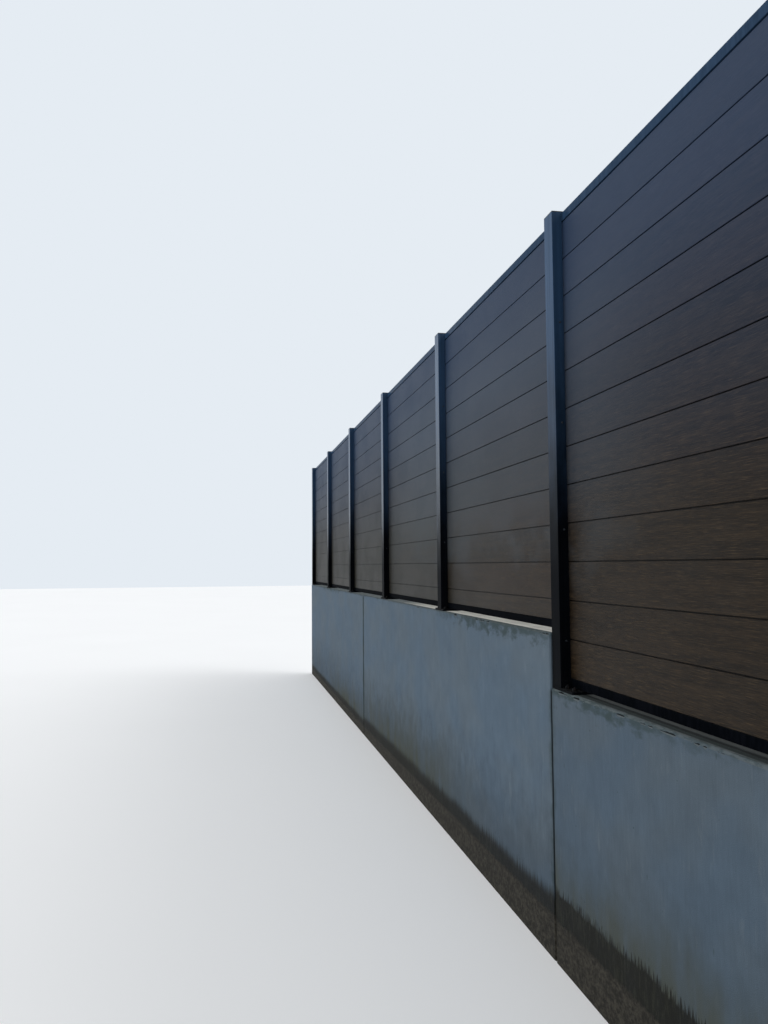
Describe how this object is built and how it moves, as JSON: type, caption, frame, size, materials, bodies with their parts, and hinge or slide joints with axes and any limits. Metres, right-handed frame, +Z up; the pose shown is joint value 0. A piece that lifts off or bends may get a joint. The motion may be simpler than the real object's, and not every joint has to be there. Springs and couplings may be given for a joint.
{
  "type": "fence on retaining wall",
  "caption": "Straight run of board fencing: grooved brown boards between black metal posts and rails, bolted on a stepped retaining wall of grey precast concrete.",
  "frame": {"origin": "on the underside of the wall, at the middle of its length and thickness", "axes": "+X along the fence towards its low end, +Y through the fence away from the open side, +Z up"},
  "size_m": [11.1724, 0.15, 2.94],
  "materials": {
    "concrete": "matte, rain streaked",
    "post_metal": "satin black",
    "rail_metal": "satin black",
    "cap_plastic": "matte black",
    "boards": "matte, embossed grain"
  },
  "bodies": {
    "root": {"wall_element_low": "concrete", "wall_element_high_near": "concrete", "wall_element_high_far": "concrete", "base_plate_1": "post_metal", "post_1": "post_metal", "post_cap_1": "cap_plastic", "base_plate_2": "post_metal", "post_2": "post_metal", "post_cap_2": "cap_plastic", "base_plate_3": "post_metal", "post_3": "post_metal", "post_cap_3": "cap_plastic", "base_plate_4": "post_metal", "post_4": "post_metal", "post_cap_4": "cap_plastic", "base_plate_5": "post_metal", "post_5": "post_metal", "post_cap_5": "cap_plastic", "base_plate_6": "post_metal", "post_6": "post_metal", "post_cap_6": "cap_plastic", "base_plate_7": "post_metal", "post_7": "post_metal", "post_cap_7": "cap_plastic", "bottom_rail_1": "rail_metal", "boards_bay_1": "boards", "top_rail_1": "rail_metal", "bottom_rail_2": "rail_metal", "boards_bay_2": "boards", "top_rail_2": "rail_metal", "bottom_rail_3": "rail_metal", "boards_bay_3": "boards", "top_rail_3": "rail_metal", "bottom_rail_4": "rail_metal", "boards_bay_4": "boards", "top_rail_4": "rail_metal", "bottom_rail_5": "rail_metal", "boards_bay_5": "boards", "top_rail_5": "rail_metal", "bottom_rail_6": "rail_metal", "boards_bay_6": "boards", "top_rail_6": "rail_metal"}
  },
  "joints": []
}
